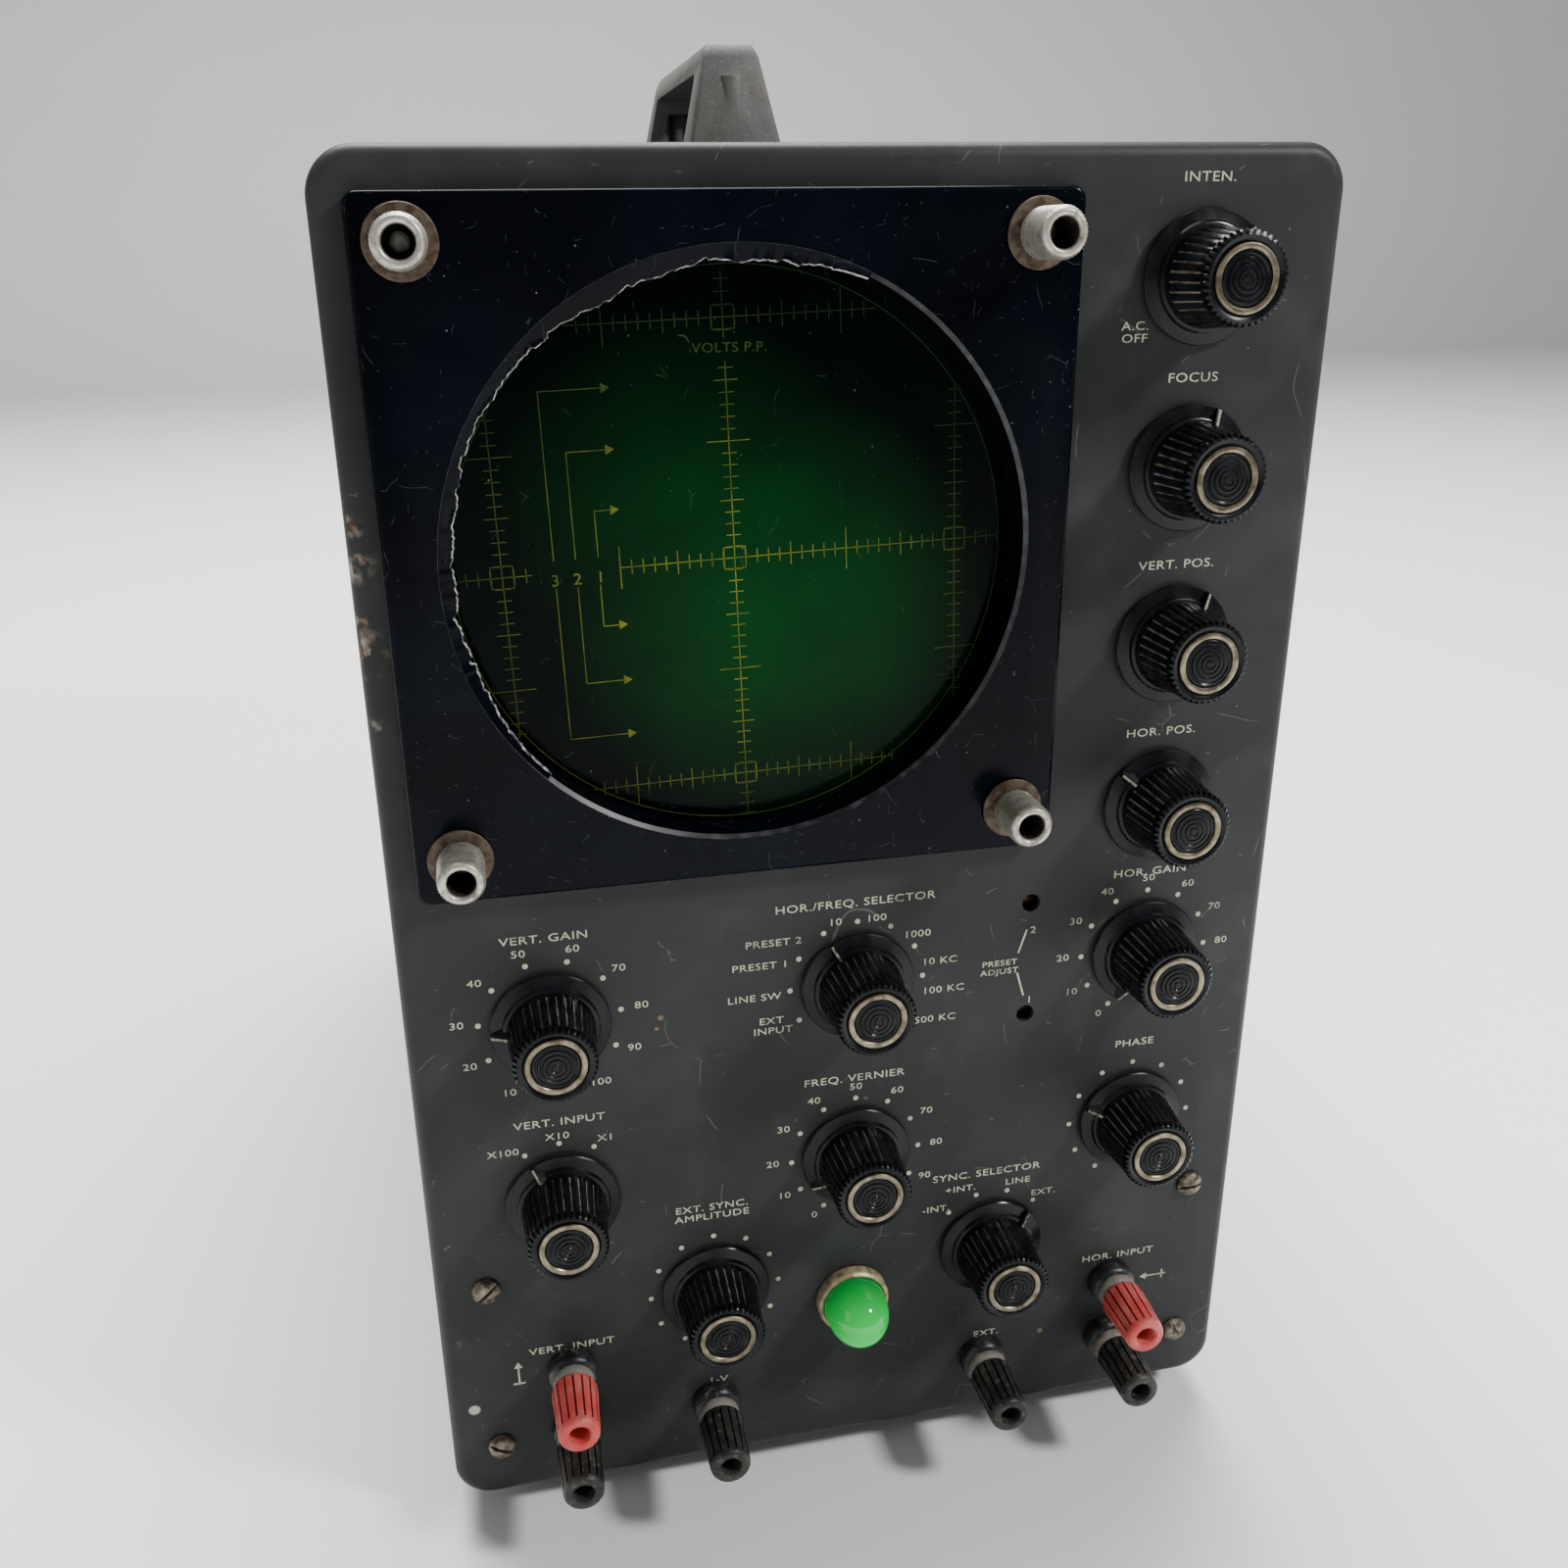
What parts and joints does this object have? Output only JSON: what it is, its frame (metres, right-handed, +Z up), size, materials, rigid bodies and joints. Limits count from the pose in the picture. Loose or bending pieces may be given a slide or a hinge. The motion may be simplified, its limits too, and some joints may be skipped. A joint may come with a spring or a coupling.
{
  "type": "bench oscilloscope",
  "caption": "Bench oscilloscope in a painted steel case: round cathode ray tube behind a green graticule, black skirted knobs, binding posts, pilot lamp and carrying handle.",
  "frame": {"origin": "on the ground, under the centre of the whole object's bounding box", "axes": "+Z up, the front panel faces -Y, +X to the right of someone facing the panel"},
  "size_m": [0.219, 0.4166, 0.378],
  "materials": {
    "panel_paint": "satin",
    "case_paint": "satin",
    "bezel_black": "gloss",
    "filter_green": "gloss",
    "tube_glass": "clear",
    "dark_phenolic": "satin",
    "shield_metal": "satin",
    "soft_rubber": "matte",
    "zinc_steel": "satin",
    "gun_nickel": "satin",
    "nut_nickel": "worn satin",
    "knob_black": "gloss",
    "post_red": "semi-gloss",
    "post_black": "semi-gloss",
    "collar_black": "semi-gloss",
    "brass": "satin",
    "jewel_green": "gloss",
    "bulb_glass": "clear",
    "handle_grey": "satin",
    "core_steel": "satin"
  },
  "bodies": {
    "instrument": {"bezel_plate": "bezel_black", "cabinet_shell": "case_paint", "carry_handle": "handle_grey", "control_bank": "core_steel", "cord_grommet": "soft_rubber", "crt_base": "dark_phenolic", "crt_cushion_ring": "soft_rubber", "crt_envelope": "tube_glass", "crt_neck_clamp": "zinc_steel", "crt_shield": "shield_metal", "crt_socket": "dark_phenolic", "electron_gun": "gun_nickel", "front_panel": "panel_paint", "fuse_holder": "collar_black", "graticule_filter": "filter_green", "main_chassis": "zinc_steel", "panel_screw_lower_left": "zinc_steel", "panel_screw_lower_right": "zinc_steel", "panel_screw_upper_left": "zinc_steel", "panel_screw_upper_right": "zinc_steel", "pilot_bulb": "bulb_glass", "pilot_lamp_bezel": "brass", "pilot_lamp_jewel": "jewel_green", "post_base_calibration": "collar_black", "post_base_external_sync": "collar_black", "post_base_horizontal_ground": "collar_black", "post_base_horizontal_signal": "collar_black", "post_base_vertical_ground": "collar_black", "post_base_vertical_signal": "collar_black", "power_transformer": "core_steel", "rear_cover": "case_paint", "rubber_foot_front_left": "soft_rubber", "rubber_foot_front_right": "soft_rubber", "rubber_foot_rear_left": "soft_rubber", "rubber_foot_rear_right": "soft_rubber", "valve_board": "dark_phenolic"},
    "knob_intensity": {"knob_intensity": "knob_black"},
    "knob_focus": {"knob_focus": "knob_black"},
    "knob_vertical_position": {"knob_vertical_position": "knob_black"},
    "knob_horizontal_position": {"knob_horizontal_position": "knob_black"},
    "knob_horizontal_gain": {"knob_horizontal_gain": "knob_black"},
    "knob_phase": {"knob_phase": "knob_black"},
    "knob_vertical_gain": {"knob_vertical_gain": "knob_black"},
    "knob_vertical_input": {"knob_vertical_input": "knob_black"},
    "knob_sync_amplitude": {"knob_sync_amplitude": "knob_black"},
    "knob_frequency_selector": {"knob_frequency_selector": "knob_black"},
    "knob_frequency_vernier": {"knob_frequency_vernier": "knob_black"},
    "knob_sync_selector": {"knob_sync_selector": "knob_black"},
    "post_cap_vertical_signal": {"post_cap_vertical_signal": "post_red"},
    "post_cap_vertical_ground": {"post_cap_vertical_ground": "post_black"},
    "post_cap_calibration": {"post_cap_calibration": "post_black"},
    "post_cap_external_sync": {"post_cap_external_sync": "post_black"},
    "post_cap_horizontal_signal": {"post_cap_horizontal_signal": "post_red"},
    "post_cap_horizontal_ground": {"post_cap_horizontal_ground": "post_black"},
    "thumb_nut_upper_left": {"thumb_nut_upper_left": "nut_nickel"},
    "thumb_nut_upper_right": {"thumb_nut_upper_right": "nut_nickel"},
    "thumb_nut_lower_left": {"thumb_nut_lower_left": "nut_nickel"},
    "thumb_nut_lower_right": {"thumb_nut_lower_right": "nut_nickel"},
    "preset_adjuster_2": {"preset_adjuster_2": "brass"},
    "preset_adjuster_1": {"preset_adjuster_1": "brass"}
  },
  "joints": [
    {"name": "intensity_turn", "type": "hinge", "parent": "instrument", "child": "knob_intensity", "pos_m": [0.0765, -0.18425, 0.3158], "axis": [0, 1, 0], "range_deg": [-195, 105]},
    {"name": "focus_turn", "type": "hinge", "parent": "instrument", "child": "knob_focus", "pos_m": [0.0765, -0.18425, 0.2748], "axis": [0, 1, 0], "range_deg": [-174, 126]},
    {"name": "vertical_position_turn", "type": "hinge", "parent": "instrument", "child": "knob_vertical_position", "pos_m": [0.0765, -0.18425, 0.2336], "axis": [0, 1, 0], "range_deg": [-183, 117]},
    {"name": "horizontal_position_turn", "type": "hinge", "parent": "instrument", "child": "knob_horizontal_position", "pos_m": [0.0765, -0.18425, 0.1926], "axis": [0, 1, 0], "range_deg": [-100, 200]},
    {"name": "horizontal_gain_turn", "type": "hinge", "parent": "instrument", "child": "knob_horizontal_gain", "pos_m": [0.0764, -0.18425, 0.1516], "axis": [0, 1, 0], "range_deg": [0, 300]},
    {"name": "phase_turn", "type": "hinge", "parent": "instrument", "child": "knob_phase", "pos_m": [0.0764, -0.18425, 0.1011], "axis": [0, 1, 0], "range_deg": [-83, 217]},
    {"name": "vertical_gain_turn", "type": "hinge", "parent": "instrument", "child": "knob_vertical_gain", "pos_m": [-0.0755, -0.18425, 0.1502], "axis": [0, 1, 0], "range_deg": [-59, 241]},
    {"name": "vertical_input_turn", "type": "hinge", "parent": "instrument", "child": "knob_vertical_input", "pos_m": [-0.0757, -0.18425, 0.0998], "axis": [0, 1, 0], "range_deg": [0, 60]},
    {"name": "sync_amplitude_turn", "type": "hinge", "parent": "instrument", "child": "knob_sync_amplitude", "pos_m": [-0.038, -0.18425, 0.0652], "axis": [0, 1, 0], "range_deg": [0, 300]},
    {"name": "frequency_selector_turn", "type": "hinge", "parent": "instrument", "child": "knob_frequency_selector", "pos_m": [0, -0.18425, 0.1517], "axis": [0, 1, 0], "range_deg": [-90, 150]},
    {"name": "frequency_vernier_turn", "type": "hinge", "parent": "instrument", "child": "knob_frequency_vernier", "pos_m": [0, -0.18425, 0.1014], "axis": [0, 1, 0], "range_deg": [-30, 270]},
    {"name": "sync_selector_turn", "type": "hinge", "parent": "instrument", "child": "knob_sync_selector", "pos_m": [0.0383, -0.18425, 0.0662], "axis": [0, 1, 0], "range_deg": [-90, 0]},
    {"name": "post_vertical_signal_unscrew", "type": "hinge", "parent": "instrument", "child": "post_cap_vertical_signal", "pos_m": [-0.0768, -0.19235, 0.0473], "axis": [0, 1, 0], "range_deg": [-360, 0]},
    {"name": "post_vertical_ground_unscrew", "type": "hinge", "parent": "instrument", "child": "post_cap_vertical_ground", "pos_m": [-0.0768, -0.19235, 0.0283], "axis": [0, 1, 0], "range_deg": [-360, 0]},
    {"name": "post_calibration_unscrew", "type": "hinge", "parent": "instrument", "child": "post_cap_calibration", "pos_m": [-0.039, -0.19235, 0.0283], "axis": [0, 1, 0], "range_deg": [-360, 0]},
    {"name": "post_external_sync_unscrew", "type": "hinge", "parent": "instrument", "child": "post_cap_external_sync", "pos_m": [0.0372, -0.19235, 0.0283], "axis": [0, 1, 0], "range_deg": [-360, 0]},
    {"name": "post_horizontal_signal_unscrew", "type": "hinge", "parent": "instrument", "child": "post_cap_horizontal_signal", "pos_m": [0.0748, -0.19235, 0.0473], "axis": [0, 1, 0], "range_deg": [-360, 0]},
    {"name": "post_horizontal_ground_unscrew", "type": "hinge", "parent": "instrument", "child": "post_cap_horizontal_ground", "pos_m": [0.0748, -0.19235, 0.0283], "axis": [0, 1, 0], "range_deg": [-360, 0]},
    {"name": "thumb_nut_upper_left_unscrew", "type": "hinge", "parent": "instrument", "child": "thumb_nut_upper_left", "pos_m": [-0.0924, -0.18935, 0.3252], "axis": [0, 1, 0], "range_deg": [-360, 0]},
    {"name": "thumb_nut_upper_right_unscrew", "type": "hinge", "parent": "instrument", "child": "thumb_nut_upper_right", "pos_m": [0.0364, -0.18935, 0.3252], "axis": [0, 1, 0], "range_deg": [-360, 0]},
    {"name": "thumb_nut_lower_left_unscrew", "type": "hinge", "parent": "instrument", "child": "thumb_nut_lower_left", "pos_m": [-0.0924, -0.18935, 0.1972], "axis": [0, 1, 0], "range_deg": [-360, 0]},
    {"name": "thumb_nut_lower_right_unscrew", "type": "hinge", "parent": "instrument", "child": "thumb_nut_lower_right", "pos_m": [0.0364, -0.18935, 0.1972], "axis": [0, 1, 0], "range_deg": [-360, 0]},
    {"name": "preset_adjust_2_turn", "type": "hinge", "parent": "instrument", "child": "preset_adjuster_2", "pos_m": [0.045, -0.18025, 0.1685], "axis": [0, 1, 0], "range_deg": [-150, 150]},
    {"name": "preset_adjust_1_turn", "type": "hinge", "parent": "instrument", "child": "preset_adjuster_1", "pos_m": [0.045, -0.18025, 0.137], "axis": [0, 1, 0], "range_deg": [-150, 150]}
  ]
}
